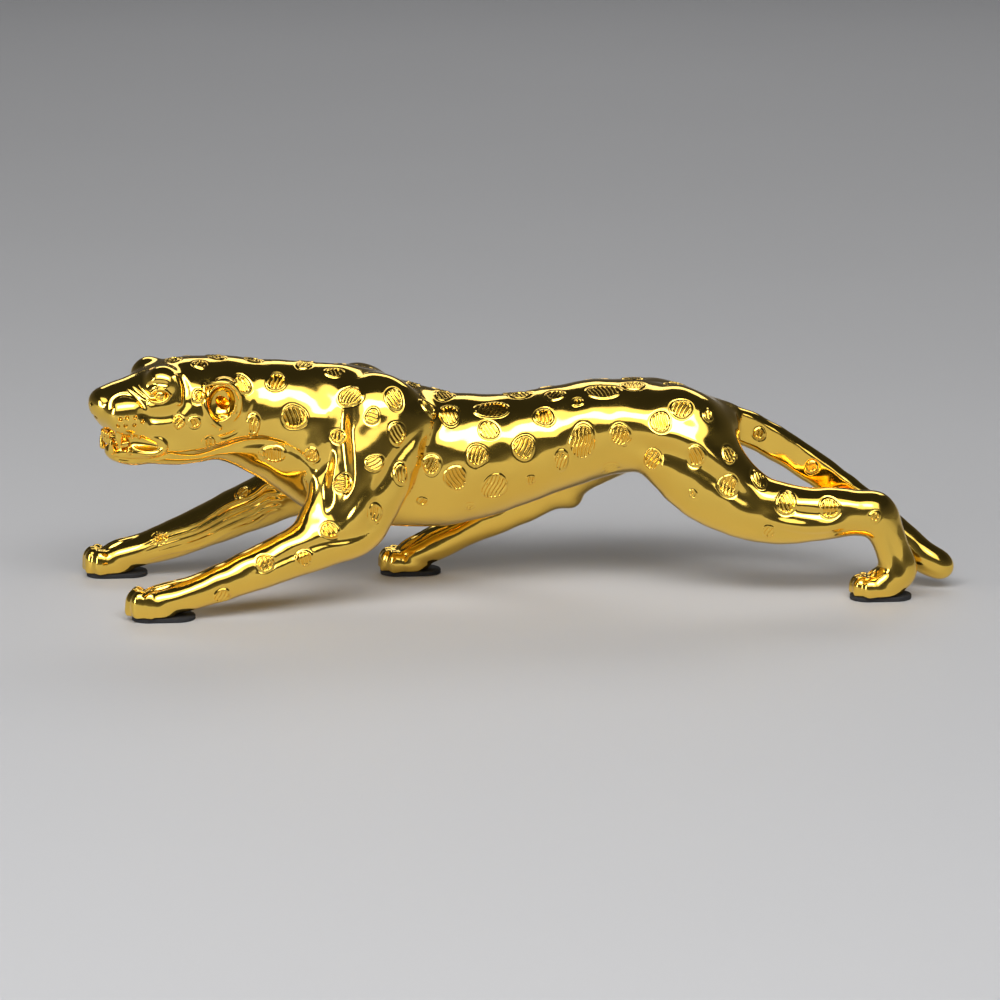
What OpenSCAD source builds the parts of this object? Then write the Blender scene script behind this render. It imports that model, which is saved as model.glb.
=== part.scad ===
// Hood ornament: a stalking spotted cat, cast in six pieces that are pinned together and plated.
// +X points from the head to the tail, +Y to the cat's right side and +Z up.
// The origin is on the bonnet, below the middle of the figure. All sizes are in millimetres.

/* [Figure] */
// Length from the foremost toe to the tip of the tail
figure_length = 208; // [190:1:230]
// How much wider or narrower the figure is than a normal one
width_factor = 1; // [0.95:0.01:1.1]
// Points round each section of the trunk
trunk_sides = 36; // [24:4:48]
// Points round each section of a leg
leg_sides = 22; // [16:2:28]
// Points round each section of the tail
tail_sides = 18; // [12:2:24]
// Rings between two neighbouring stations
rings_per_station = 2; // [1:1:3]

/* [Joints between castings] */
// Diameter of the dowel pins in the shoulders and hips
leg_pin_d = 3; // [2.5:0.1:3.2]
// Diameter of the dowel pin in the tail
tail_pin_d = 2.5; // [2:0.1:3]
// Radial clearance of every pin in its hole
pin_clearance = 0.02; // [0.01:0.01:0.05]
// Gap between a leg and the trunk, filled by the brazing alloy
braze_gap = 0.15; // [0.1:0.05:0.3]
// Thinnest edge of a leg where it lies on the trunk
edge_thickness = 0.8; // [0.5:0.1:1.2]

/* [Pads and fixings] */
// Thickness of the foam pad under each paw
pad_thickness = 1.1; // [0.8:0.1:1.6]
// Length of each pad
pad_length = 14.6; // [13:0.1:15]
// Width of each pad
pad_width = 7.6; // [7:0.1:8.2]
// Diameter of the hole in each pad
pad_hole_d = 5; // [4.5:0.1:5.4]
// Core diameter of the tapped hole in each paw
thread_core_d = 3.3; // [3:0.1:3.5]
// Depth of the tapped hole in each paw
thread_depth = 4.5; // [3.5:0.1:4.6]

/* [Hidden] */

gold = [0.85, 0.62, 0.16];
steel = [0.62, 0.63, 0.65];
foam_black = [0.05, 0.05, 0.05];

normal_length = 208;
k = figure_length / normal_length;
ky = k * width_factor;
left = -1;
right = 1;
trunk_power = 2.3;
limb_power = 2.2;
cut_clear = 5;

// Trunk, neck and head: x, sideways shift, lowest z, highest z, half width
trunk_stations = [
    [-100, -8.2, 43, 48.5, 3],
    [-98, -7.8, 38.5, 51.5, 6],
    [-94, -7, 35.5, 52.8, 8],
    [-89, -5.8, 34.2, 53.6, 9.5],
    [-83, -4.2, 33.8, 56, 11.5],
    [-77, -2.6, 33.8, 56.8, 12],
    [-70, -1.2, 33, 56.6, 12],
    [-62, -0.4, 29, 56, 11.5],
    [-54, 0, 23.5, 55.4, 11],
    [-46, 0, 19.5, 54.6, 10.2],
    [-38, 0, 17.5, 53.6, 10],
    [-28, 0, 16.4, 51, 10.8],
    [-17, 0, 16.4, 47.6, 12],
    [-4, 0, 19, 47.2, 12],
    [9, 0, 23, 48.6, 11.2],
    [20, 0, 26, 49.8, 9.8],
    [31, 0, 27.5, 49, 8.8],
    [41, 0, 29.5, 46.8, 8],
    [50, 0, 34.5, 44, 5.2]];

// Limbs: x, z, tilt of the section in degrees, half thickness, half width, distance from the middle plane
left_foreleg_stations = [
    [-36, 53.5, 0, 3, 2, 9],
    [-35, 49.5, 0, 8, 4.5, 9.6],
    [-34, 43, 0, 10.5, 5.8, 10.2],
    [-35, 35, -5, 9.6, 6.2, 10.8],
    [-37, 27.5, -15, 8.4, 5.8, 12],
    [-40.5, 20, -38, 8.6, 5.4, 13.4],
    [-49, 15.2, -60, 6, 4.9, 15.4],
    [-62, 9.8, -66, 4.7, 4.3, 17.8],
    [-72, 6.6, -72, 4, 4.2, 19.2],
    [-77.5, 5.1, -80, 4, 4.5, 19.8],
    [-83, 4.5, -86, 3.6, 4.8, 20],
    [-88, 3.7, -90, 2.8, 4.9, 20],
    [-92, 2.7, -90, 1.4, 3.2, 20]];
right_foreleg_stations = [
    [-39, 53, 0, 3, 2, 9],
    [-38.5, 49, 0, 8, 4.5, 9.6],
    [-38.5, 43, 0, 10, 5.8, 10.2],
    [-40, 36, -5, 9.4, 6.2, 10.8],
    [-43, 29, -20, 8.4, 5.8, 12],
    [-49, 23.2, -45, 7.2, 5.2, 13.6],
    [-59, 18.6, -60, 5.6, 4.8, 15.4],
    [-70, 13.4, -64, 4.9, 4.3, 17.4],
    [-81, 8.2, -70, 4.5, 4.2, 18.8],
    [-88.5, 5.4, -80, 4.3, 4.6, 19.8],
    [-94, 4.7, -86, 3.8, 4.8, 20],
    [-99, 3.8, -90, 2.9, 4.9, 20],
    [-103.2, 2.7, -90, 1.4, 3.2, 20]];
left_hind_leg_stations = [
    [34, 47.5, 5, 3.5, 2, 7.4],
    [36, 43.5, 12, 8.5, 4.4, 8.4],
    [39, 37.5, 25, 11.5, 6, 9.6],
    [43.5, 30.5, 40, 11, 6.6, 11],
    [50, 24.2, 62, 9, 6, 12.8],
    [57, 21.5, 80, 7.6, 5.2, 14.4],
    [66, 20.4, 90, 6.2, 4.5, 15.6],
    [75, 20.9, 88, 5.6, 4.2, 16],
    [82.6, 20, 58, 5.7, 4.2, 16],
    [87, 14.2, 22, 4.4, 4, 16],
    [88.4, 8.6, 4, 4.3, 4.2, 16],
    [88, 5, -32, 4.8, 4.5, 16],
    [86.4, 4.4, -56, 3.9, 4.7, 16],
    [83.4, 3.9, -76, 3.1, 4.8, 16],
    [78.4, 2.6, -90, 1.4, 3.2, 16]];
right_hind_leg_stations = [
    [36, 46.5, -10, 4, 2, 7.6],
    [32, 42.5, -20, 9, 4.4, 8.8],
    [25, 37, -32, 12, 5.6, 10.4],
    [17, 30.5, -38, 10.8, 6, 12],
    [10.5, 23.4, -42, 7.4, 5.4, 13.4],
    [4, 17.8, -56, 5.2, 4.8, 14.8],
    [-5, 13, -66, 4.3, 4.2, 15.6],
    [-14, 8.9, -68, 4, 4.2, 16],
    [-20.5, 5.3, -79, 4.2, 4.5, 16],
    [-27, 3.9, -88, 3, 4.8, 16],
    [-31.8, 2.7, -90, 1.4, 3.2, 16]];
tail_stations = [
    [50.1, 39.4, 90, 3.9, 3.4, 0],
    [54, 37.8, 66, 3.8, 3.1, 0],
    [60, 34.6, 60, 3.7, 2.9, -0.2],
    [70, 28, 55, 3.6, 2.8, -1.4],
    [80, 20.8, 52, 3.4, 2.7, -3.4],
    [91, 11.8, 50, 3.3, 2.6, -6],
    [98.6, 6, 52, 3.2, 2.5, -7.6],
    [102.4, 3.6, 62, 1.6, 1.4, -8.4]];

// Each paw: x of the middle of the pad, and y of the paw before its side is chosen
left_fore_paw = [-83.4, 20];
right_fore_paw = [-94.8, 20];
left_hind_paw = [84.2, 16];
right_hind_paw = [-24.4, 16];

// Dowel pins: x and z of each one, and how far from the middle plane it starts and ends
left_shoulder_pin_places = [[-35, 45], [-37, 31]];
right_shoulder_pin_places = [[-39, 45], [-42, 32]];
left_hip_pin_places = [[36, 42], [41, 34]];
right_hip_pin_places = [[32, 41], [25, 35]];
shoulder_pin_span = [4.6, 13];
hip_pin_span = [3.6, 12];
tail_pin_z = 39.4;
tail_pin_span = [43, 54];
pin_end_room = 0.3;

// Mouth opening, seen from the side: x and z of its corners
mouth_outline = [[-104, 42.6], [-92, 42.4], [-86, 40.4], [-92, 38.8], [-104, 37.6]];
mouth_reach = 30;

// Ears: x, distance from the head's middle line and z of each root, and the size of the cup
ear_root = [-69, 9, 48];
ear_height = 4.6;
ear_root_r = 4.6;
ear_rim_r = 3.8;
ear_wall = 1;
ear_turn = 25;
ear_spread = 62;

// Catmull-Rom blend of four neighbouring stations
function blend(a, b, c, d, t) =
    0.5 * (2 * b + (c - a) * t + (2 * a - 5 * b + 4 * c - d) * t * t + (3 * b - 3 * c + d - a) * t * t * t);
function station(list, u) =
    let (last = len(list) - 1, i = min(floor(u), last - 1))
    blend(list[max(i - 1, 0)], list[i], list[i + 1], list[min(i + 2, last)], u - i);
function stations(list) =
    let (count = (len(list) - 1) * rings_per_station)
    [for (i = [0:count]) station(list, i / rings_per_station)];

// Cosine raised to the power that squares off a round section
function squared(c, power) = sign(c) * pow(abs(c), 2 / power);

function trunk_ring(s) =
    let (middle = (s[2] + s[3]) / 2, half = (s[3] - s[2]) / 2)
    [for (i = [0:trunk_sides - 1])
        let (a = 360 * i / trunk_sides)
        [k * s[0], ky * (s[1] + s[4] * squared(cos(a), trunk_power)),
         k * (middle + half * squared(sin(a), trunk_power))]];

// Half width of the trunk at height z of the section that holds x, or 0 outside it
function station_index(x, i = 0) =
    i >= len(trunk_stations) - 2 || trunk_stations[i + 1][0] > x ? i : station_index(x, i + 1);
function trunk_section(x) =
    let (i = station_index(x), a = trunk_stations[i][0], b = trunk_stations[i + 1][0])
    station(trunk_stations, i + min(max((x - a) / (b - a), 0), 1));
function trunk_half_width(x, z) =
    let (s = trunk_section(x), rise = abs(z - (s[2] + s[3]) / 2) / ((s[3] - s[2]) / 2),
         inside = x < trunk_stations[len(trunk_stations) - 1][0] && rise < 1)
    inside ? s[4] * pow(1 - pow(rise, trunk_power), 1 / trunk_power) : 0;

// One section of a leg: it rests on the trunk where it overlaps it, and never reaches below the pad
function leg_ring(s, side) =
    [for (i = [0:leg_sides - 1])
        let (a = 360 * i / leg_sides,
             across = s[3] * squared(cos(a), limb_power),
             x = s[0] + across * cos(s[2]),
             z = max(s[1] + across * sin(s[2]), pad_thickness / k),
             trunk_y = trunk_half_width(x, z),
             lift = trunk_y > 0 ? braze_gap + edge_thickness * (1 + sin(a)) / 2 : 0,
             y = max(s[5] + s[4] * squared(sin(a), limb_power), trunk_y + lift))
        [k * x, side * ky * y, k * z]];

function tail_ring(s) =
    [for (i = [0:tail_sides - 1])
        let (a = 360 * i / tail_sides, across = s[3] * squared(cos(a), limb_power))
        [k * (s[0] + across * cos(s[2])), ky * (s[5] + s[4] * squared(sin(a), limb_power)),
         k * (s[1] + across * sin(s[2]))]];

function centre(ring) = [for (axis = [0:2]) sum([for (p = ring) p[axis]]) / len(ring)];
function sum(list, i = 0) = i == len(list) ? 0 : list[i] + sum(list, i + 1);

// Closed skin over a list of rings that all have the same number of points
module loft(rings, flip = false) {
    n = len(rings[0]);
    last = len(rings) - 1;
    points = [for (ring = rings) each ring, centre(rings[0]), centre(rings[last])];
    start_cap = n * (last + 1);
    end_cap = start_cap + 1;
    walls = [for (r = [0:last - 1], i = [0:n - 1])
        let (a = r * n + i, b = r * n + (i + 1) % n)
        each [[a, b, a + n], [b, b + n, a + n]]];
    caps = [for (i = [0:n - 1])
        let (j = (i + 1) % n)
        each [[start_cap, j, i], [end_cap, last * n + i, last * n + j]]];
    faces = concat(walls, caps);
    polyhedron(points, flip ? [for (f = faces) [f[2], f[1], f[0]]] : faces, convexity = 8);
}

// Pins that lie along Y between two distances from the middle plane
module side_pins(places, span, side, extra_r, extra_end) {
    for (place = places) {
        translate([k * place[0], side * (span[0] - extra_end), k * place[1]])
            rotate([-90 * side, 0, 0])
                cylinder(d = leg_pin_d + 2 * extra_r, h = span[1] - span[0] + 2 * extra_end, $fn = 48);
    }
}

module tail_pin_shape(extra_r, extra_end) {
    translate([k * tail_pin_span[0] - extra_end, 0, k * tail_pin_z])
        rotate([0, 90, 0])
            cylinder(d = tail_pin_d + 2 * extra_r,
                h = k * (tail_pin_span[1] - tail_pin_span[0]) + 2 * extra_end, $fn = 48);
}

module side_pin_holes(places, span, side) {
    side_pins(places, span, side, pin_clearance, pin_end_room);
}

module tapped_hole(paw, side) {
    translate([k * paw[0], side * ky * paw[1], pad_thickness - cut_clear])
        cylinder(d = thread_core_d, h = thread_depth + cut_clear, $fn = 48);
}

module leg(stations_list, side, paw, pin_places, pin_span) {
    color(gold)
        difference() {
            loft([for (s = stations(stations_list)) leg_ring(s, side)], side == left);
            side_pin_holes(pin_places, pin_span, side);
            tapped_hole(paw, side);
        }
}

module pad(paw, side) {
    straight = pad_length - pad_width;
    color(foam_black)
        translate([k * paw[0], side * ky * paw[1], 0])
            difference() {
                union() {
                    translate([-straight / 2, -pad_width / 2, 0])
                        cube([straight, pad_width, pad_thickness]);
                    for (end = [-1, 1]) {
                        translate([end * straight / 2, 0, 0])
                            cylinder(d = pad_width, h = pad_thickness, $fn = 64);
                    }
                }
                translate([0, 0, -1])
                    cylinder(d = pad_hole_d, h = pad_thickness + 2, $fn = 48);
            }
}

module ear(side) {
    translate([k * ear_root[0], ky * (trunk_section(ear_root[0])[1] + side * ear_root[1]), k * ear_root[2]])
        rotate([0, 0, side * ear_turn])
            rotate([-side * ear_spread, 0, 0])
                difference() {
                    cylinder(r1 = ear_root_r, r2 = ear_rim_r, h = ear_height, $fn = 40);
                    translate([0, 0, ear_height / 3])
                        cylinder(r = ear_rim_r - ear_wall, h = ear_height, $fn = 40);
                }
}

module body_casting() {
    color(gold)
        difference() {
            union() {
                loft([for (s = stations(trunk_stations)) trunk_ring(s)], true);
                ear(left);
                ear(right);
            }
            translate([0, mouth_reach, 0])
                rotate([90, 0, 0])
                    linear_extrude(height = 2 * mouth_reach)
                        polygon([for (p = mouth_outline) [k * p[0], k * p[1]]]);
            side_pin_holes(left_shoulder_pin_places, shoulder_pin_span, left);
            side_pin_holes(right_shoulder_pin_places, shoulder_pin_span, right);
            side_pin_holes(left_hip_pin_places, hip_pin_span, left);
            side_pin_holes(right_hip_pin_places, hip_pin_span, right);
            tail_pin_shape(pin_clearance, pin_end_room);
        }
}

module left_foreleg() {
    leg(left_foreleg_stations, left, left_fore_paw, left_shoulder_pin_places, shoulder_pin_span);
}

module right_foreleg() {
    leg(right_foreleg_stations, right, right_fore_paw, right_shoulder_pin_places, shoulder_pin_span);
}

module left_hind_leg() {
    leg(left_hind_leg_stations, left, left_hind_paw, left_hip_pin_places, hip_pin_span);
}

module right_hind_leg() {
    leg(right_hind_leg_stations, right, right_hind_paw, right_hip_pin_places, hip_pin_span);
}

module tail() {
    color(gold)
        difference() {
            loft([for (s = stations(tail_stations)) tail_ring(s)]);
            tail_pin_shape(pin_clearance, pin_end_room);
        }
}

module left_shoulder_pins() {
    color(steel) side_pins(left_shoulder_pin_places, shoulder_pin_span, left, 0, 0);
}

module right_shoulder_pins() {
    color(steel) side_pins(right_shoulder_pin_places, shoulder_pin_span, right, 0, 0);
}

module left_hip_pins() {
    color(steel) side_pins(left_hip_pin_places, hip_pin_span, left, 0, 0);
}

module right_hip_pins() {
    color(steel) side_pins(right_hip_pin_places, hip_pin_span, right, 0, 0);
}

module tail_pin() {
    color(steel) tail_pin_shape(0, 0);
}

module left_fore_pad() {
    pad(left_fore_paw, left);
}

module right_fore_pad() {
    pad(right_fore_paw, right);
}

module left_hind_pad() {
    pad(left_hind_paw, left);
}

module right_hind_pad() {
    pad(right_hind_paw, right);
}

body_casting();
left_foreleg();
right_foreleg();
left_hind_leg();
right_hind_leg();
tail();
left_shoulder_pins();
right_shoulder_pins();
left_hip_pins();
right_hip_pins();
tail_pin();
left_fore_pad();
right_fore_pad();
left_hind_pad();
right_hind_pad();
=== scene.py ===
"""Looks of the hood ornament: a stalking spotted cat in mirror-polished gold plate.

Each casting is sculpted as a smooth distance field in design millimetres, and then meshed with its details.
The design millimetre is scaled from the CAD model's length, and heights are counted from its lowest point.
"""

import math
from concurrent.futures import ThreadPoolExecutor

import bmesh
import bpy
import numpy as np
import openvdb
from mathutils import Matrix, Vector


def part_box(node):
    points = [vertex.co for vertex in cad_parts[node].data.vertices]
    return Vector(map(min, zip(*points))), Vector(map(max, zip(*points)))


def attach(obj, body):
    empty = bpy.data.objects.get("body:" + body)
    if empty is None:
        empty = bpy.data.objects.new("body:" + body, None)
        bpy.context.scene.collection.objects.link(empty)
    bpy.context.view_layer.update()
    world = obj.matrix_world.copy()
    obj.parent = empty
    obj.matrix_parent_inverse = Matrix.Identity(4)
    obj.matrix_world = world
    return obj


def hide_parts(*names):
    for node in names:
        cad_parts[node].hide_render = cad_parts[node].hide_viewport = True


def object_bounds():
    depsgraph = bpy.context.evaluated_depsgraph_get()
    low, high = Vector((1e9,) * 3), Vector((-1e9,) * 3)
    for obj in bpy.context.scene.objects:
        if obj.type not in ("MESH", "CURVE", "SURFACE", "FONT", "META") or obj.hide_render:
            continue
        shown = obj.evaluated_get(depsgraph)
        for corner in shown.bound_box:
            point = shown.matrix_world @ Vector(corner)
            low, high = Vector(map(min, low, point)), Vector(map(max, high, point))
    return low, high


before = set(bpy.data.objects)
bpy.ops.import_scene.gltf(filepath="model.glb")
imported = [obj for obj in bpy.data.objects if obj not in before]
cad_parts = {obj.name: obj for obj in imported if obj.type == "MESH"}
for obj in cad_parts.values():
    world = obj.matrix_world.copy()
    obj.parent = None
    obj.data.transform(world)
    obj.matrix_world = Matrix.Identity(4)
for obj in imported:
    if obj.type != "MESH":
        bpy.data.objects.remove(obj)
cad_low, cad_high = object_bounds()

DESIGN_LENGTH = 206.5
UNIT = (cad_high.x - cad_low.x) / DESIGN_LENGTH
ORIGIN = Vector(((cad_low.x + cad_high.x) / 2, (cad_low.y + cad_high.y) / 2, cad_low.z))
PAD_TOP = (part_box("left_fore_pad")[1].z - cad_low.z) / UNIT

# Meshing: grid pitch, cuts of each edge near a fine detail, how near that is, and room round the CAD box
VOXEL = 0.5
CUTS = 2
DETAIL_REACH = 0.5
MARGIN = 6
FAR = 1000.0
CORNERS = np.array([(1, -1, -1), (-1, -1, 1), (-1, 1, -1), (1, 1, 1)], float)

# The sign of y on the cat's left and right, a start height above everything, and how a groove is asked for
LEFT, RIGHT = -1, 1
ABOVE = 70
GROOVE = True

# Spots: heights of plate and rim, depths of the groove round them and the hatching, and its pitch
SPOT_PLATE = 0.08
SPOT_RIM = 0.1
SPOT_GROOVE = 0.1
SPOT_HATCH = 0.16
HATCH_PITCH = 0.88

# Tapped holes in the paws, and the hole in each pad
BORE_R = 1.7
BORE_DEPTH = 4.5
THREAD_PITCH = 0.7
PAD_HOLE_R = 2.5

# How softly the hind legs and the tail flow into the body, and how far the body runs past the crease
HIP_BLEND = 9
TAIL_BLEND = 2.5
TUCK = 0.3


# ---------------- smooth distance fields

def softmin(fields, k):
    """Smooth union of a list of fields."""
    stack = np.stack(fields)
    low = stack.min(0)
    return low - k * np.log(np.exp(-(stack - low) / k).sum(0))


def union(a, b, k):
    """Smooth union with a blend that ends k away."""
    h = np.maximum(k - np.abs(a - b), 0) / k
    return np.minimum(a, b) - h ** 3 * k / 6


def cut(a, b, k):
    """a without b, with a rounded edge."""
    return -union(-a, b, k)


def spline(rows, count):
    """Catmull-Rom curve through the rows, sampled count times at even steps of the row number."""
    rows = np.asarray(rows, float)
    u = np.linspace(0, len(rows) - 1, count)
    i = np.minimum(u.astype(int), len(rows) - 2)
    t = (u - i)[:, None]
    last = len(rows) - 1
    a, b = rows[np.maximum(i - 1, 0)], rows[i]
    c, d = rows[i + 1], rows[np.minimum(i + 2, last)]
    square, cube = 2 * a - 5 * b + 4 * c - d, 3 * b - 3 * c + d - a
    return 0.5 * (2 * b + (c - a) * t + square * t ** 2 + cube * t ** 3)


def smooth_table(values, width):
    """A running mean, applied twice, that keeps the ends in place."""
    pad = width // 2
    for _ in range(2):
        padded = np.concatenate([np.full(pad, values[0]), values, np.full(pad, values[-1])])
        values = np.convolve(padded, np.ones(width) / width, "same")[pad:-pad]
    return values


class Tube:
    """A limb: many balls along a curve, merged so closely that they make one smooth skin.

    Rows are x, y, z, radius, and how much flatter the limb is across than along y (1 is round).
    """

    def __init__(self, rows, spacing=1.0, k=0.5):
        dense = spline(rows, 400)
        length = np.concatenate([[0], np.cumsum(np.linalg.norm(np.diff(dense[:, :3], axis=0), axis=1))])
        at = np.linspace(0, length[-1], max(int(length[-1] / spacing), 2))
        self.balls = np.stack([np.interp(at, length, dense[:, j]) for j in range(5)], 1)
        radius = np.maximum(self.balls[:, 3], 0.2)
        overlap = np.maximum(np.sqrt(2 * math.pi * k * radius) / (at[1] - at[0]), 1)
        self.radius = radius - k * np.log(overlap)
        self.k = k
        reach = radius.max() + 16
        self.low = self.balls[:, :3].min(0) - reach
        self.high = self.balls[:, :3].max(0) + reach

    def __call__(self, points):
        out = np.full(len(points), FAR)
        inside = np.flatnonzero(((points > self.low) & (points < self.high)).all(1))
        for part in np.array_split(inside, max(len(inside) // 20000, 1)):
            p = points[part]
            d2 = (p[:, None, 0] - self.balls[:, 0]) ** 2 + (p[:, None, 2] - self.balls[:, 2]) ** 2
            d2 += ((p[:, None, 1] - self.balls[:, 1]) * self.balls[:, 4]) ** 2
            f = np.sqrt(d2) - self.radius
            low = f.min(1)
            out[part] = low - self.k * np.log(np.exp(-(f - low[:, None]) / self.k).sum(1))
        return out


class Loft:
    """The trunk: an ellipse whose height, width and place follow x."""

    def __init__(self, rows, smooth=60, step=0.1):
        dense = spline(rows, 4000)
        self.x = np.arange(dense[0, 0], dense[-1, 0], step)
        columns = [smooth_table(np.interp(self.x, dense[:, 0], dense[:, j]), smooth) for j in range(1, 5)]
        self.side, low, high, self.half_width = columns
        self.middle, self.half_height = (low + high) / 2, (high - low) / 2

    def __call__(self, points):
        x = points[:, 0]
        w = np.interp(x, self.x, self.half_width)
        h = np.interp(x, self.x, self.half_height)
        y = (points[:, 1] - np.interp(x, self.x, self.side)) / w
        z = (points[:, 2] - np.interp(x, self.x, self.middle)) / h
        k0 = np.sqrt(y * y + z * z + 1e-6)
        k1 = np.sqrt((y / w) ** 2 + (z / h) ** 2 + 1e-9)
        f = k0 * (k0 - 1) / k1
        f = -union(-f, -(x - self.x[-1] + 1.5), 3)
        return -union(-f, -(self.x[0] - x + 3), 6)


def ellipsoids(points, rows, k):
    """Smooth union of ellipsoids. Rows are centre, radii and a pitch in degrees."""
    fields = []
    for x, y, z, rx, ry, rz, pitch in rows:
        c, s = math.cos(math.radians(pitch)), math.sin(math.radians(pitch))
        q = points - (x, y, z)
        u = q[:, 0] * c + q[:, 2] * s
        w = q[:, 2] * c - q[:, 0] * s
        v = q[:, 1]
        k0 = np.sqrt((u / rx) ** 2 + (v / ry) ** 2 + (w / rz) ** 2 + 1e-6)
        k1 = np.sqrt((u / rx ** 2) ** 2 + (v / ry ** 2) ** 2 + (w / rz ** 2) ** 2 + 1e-9)
        fields.append(k0 * (k0 - 1) / k1)
    return softmin(fields, k)


def mirrored(rows):
    """Each row that isn't on the middle plane, on both sides of it."""
    out = []
    for row in rows:
        out.append(row)
        if row[1]:
            out.append((row[0], -row[1], *row[2:]))
    return out


# ---------------- the figure, in design millimetres

# x, sideways shift, lowest z, highest z, half width
TRUNK = Loft([
    (-78, -2, 37, 54.5, 8.5), (-72, -1.4, 34.4, 56, 9.8), (-65, -0.6, 31, 56.4, 10.6),
    (-58, 0, 26.4, 56.2, 11), (-50, 0, 20.4, 55.6, 11.4), (-42, 0, 17.4, 54.9, 11.6),
    (-34, 0, 16.4, 53.4, 11.8), (-26, 0, 16, 50.6, 12.2), (-17, 0, 16.2, 47.8, 12.8),
    (-8, 0, 17.8, 47.1, 12.8), (1, 0, 20.6, 47.5, 12.4), (10, 0, 23.8, 48.8, 11.9),
    (19, 0, 26.8, 50, 12), (28, 0, 28.2, 49.8, 12.9), (37, 0, 29, 48.4, 13.4), (45, 0, 31.5, 45.8, 11),
    (51, 0, 35, 43.4, 6.5), (53, 0, 36, 42.6, 4)])

# x, y, z, radius, and how much flatter along y than along x and z
LEFT_FORELEG = [
    Tube([(-33, -6.4, 48.6, 5, 1.2), (-32, -8.2, 44, 9, 1.45), (-33.4, -10.4, 38, 9.8, 1.45),
          (-36, -12.4, 31.4, 8.8, 1.3), (-38.8, -13.2, 25, 7.7, 1.2), (-41.2, -13.6, 19.8, 7, 1.1)]),
    Tube([(-24.4, -9, 43.6, 3.6, 1), (-27, -10.6, 38, 4.6, 1), (-30.2, -12.2, 31, 5, 1),
          (-33.6, -13.6, 24, 4.8, 1), (-37, -14, 18.8, 4.8, 1)]),
    Tube([(-46, -7.6, 43, 2.4, 1), (-47, -8.4, 37, 3, 1), (-46.8, -9.6, 31, 3.2, 1),
          (-46.4, -12, 26, 3.4, 1), (-49, -14, 20.6, 3.6, 1)]),
    Tube([(-39, -13.6, 19, 6.4, 1), (-47, -15, 16.4, 6.3, 1.05), (-55, -16.6, 13.4, 5.5, 1.05),
          (-63, -18, 10.6, 4.8, 1), (-71, -19.2, 7.8, 4.2, 0.92), (-77, -19.8, 6, 3.9, 0.84),
          (-82, -20, 5, 3.6, 0.76), (-85, -20, 4.6, 3, 0.7)])]
RIGHT_FORELEG = [
    Tube([(-37, 8.4, 48.6, 4.6, 1.1), (-36.4, 9.4, 44, 8.6, 1.35), (-38, 10.4, 38.4, 9.4, 1.35),
          (-41.5, 11.2, 33, 8.2, 1.2), (-45, 12.4, 27.4, 7.6, 1.15), (-50, 13.6, 23, 6.9, 1.1)]),
    Tube([(-29.6, 9.8, 43, 3.6, 1), (-32, 11.2, 37.6, 4.6, 1), (-36.6, 12.6, 31, 4.8, 1),
          (-42, 13.4, 25.6, 4.4, 1)]),
    Tube([(-49, 13.6, 23.4, 6.4, 1), (-57, 15, 20, 6.2, 1.05), (-66, 16.6, 15.8, 5.7, 1.05),
          (-75, 18, 11.6, 5, 1), (-83, 19.2, 8.2, 4.4, 0.94), (-89, 19.8, 6.2, 3.9, 0.84),
          (-94, 20, 5.1, 3.6, 0.76), (-96.4, 20, 4.7, 3, 0.7)])]
LEFT_HIND_LEG = [
    Tube([(37, -5, 43.6, 4.6, 1.1), (38, -7.4, 40.4, 8.4, 1.3), (39.6, -9.6, 34.4, 11.1, 1.55),
          (44.3, -11.6, 28.3, 10.1, 1.45), (50, -12.8, 23.9, 8.6, 1.3), (57, -14.2, 21.1, 7.6, 1.25),
          (66, -15.4, 20.4, 6.6, 1.2), (75, -16, 21, 5.7, 1.1), (81.5, -16, 20.6, 5, 1.05)]),
    Tube([(82.6, -16, 21, 4.9, 1.05), (85.2, -16, 16, 4.2, 1), (87.2, -16, 10.8, 4, 0.95),
          (88.4, -16, 6.4, 4.5, 0.95), (86, -16, 4.5, 3.7, 0.8), (83, -16, 3.9, 3, 0.7)])]
RIGHT_HIND_LEG = [
    Tube([(36, 5, 42.6, 4, 1.1), (31, 7.4, 39.4, 7.8, 1.3), (25, 9.8, 35.2, 9.6, 1.45),
          (17.4, 12, 30.2, 8.8, 1.35), (10.6, 13.4, 24, 6.9, 1.2), (5, 14.6, 18.8, 5.3, 1.1),
          (-3, 15.4, 14.5, 4.6, 1), (-11, 15.9, 10.8, 4.2, 0.96), (-18, 16, 7.4, 4.1, 0.9),
          (-23, 16, 5.3, 3.7, 0.78), (-25.4, 16, 4.6, 3, 0.7)]),
    Tube([(12, 13.4, 20.4, 3.8, 1), (14, 13.6, 18.8, 2.7, 1)])]
TAIL = [
    Tube([(47, 0, 40.6, 3.6, 1), (52, 0, 39, 4.1, 1.15), (58, 0, 36, 4.1, 1.2),
          (66, -0.6, 31.2, 3.9, 1.2), (74, -2, 25.6, 3.8, 1.2), (82, -3.8, 19.6, 3.7, 1.2),
          (90, -5.8, 12.8, 3.7, 1.15), (96, -7.2, 7.5, 3.8, 1.1), (100.2, -8.1, 5.4, 3.5, 1)])]
TAIL_FACET = (51, 79)
TAIL_HALF_WIDTH = 2.3

# Each paw: x of its foremost point, y of its middle, x of the fixing hole, how many degrees the toes turn,
# and their height
PAWS = {
    "left_foreleg": (-92.3, -20, -83.4, -32, 7),
    "right_foreleg": (-103.2, 20, -94.8, -12, 6.6),
    "left_hind_leg": (76.8, -16, 84.2, -8, 5.3),
    "right_hind_leg": (-32.4, 16, -24.4, -4, 5.8)}

# The grooves between the toes: a height with nothing between it and the toes, and how long the grooves are
TOE_GROOVES = {
    "left_foreleg": (ABOVE, 1),
    "right_foreleg": (ABOVE, 1),
    "left_hind_leg": (9, 0.15),
    "right_hind_leg": (14, 1)}

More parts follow.
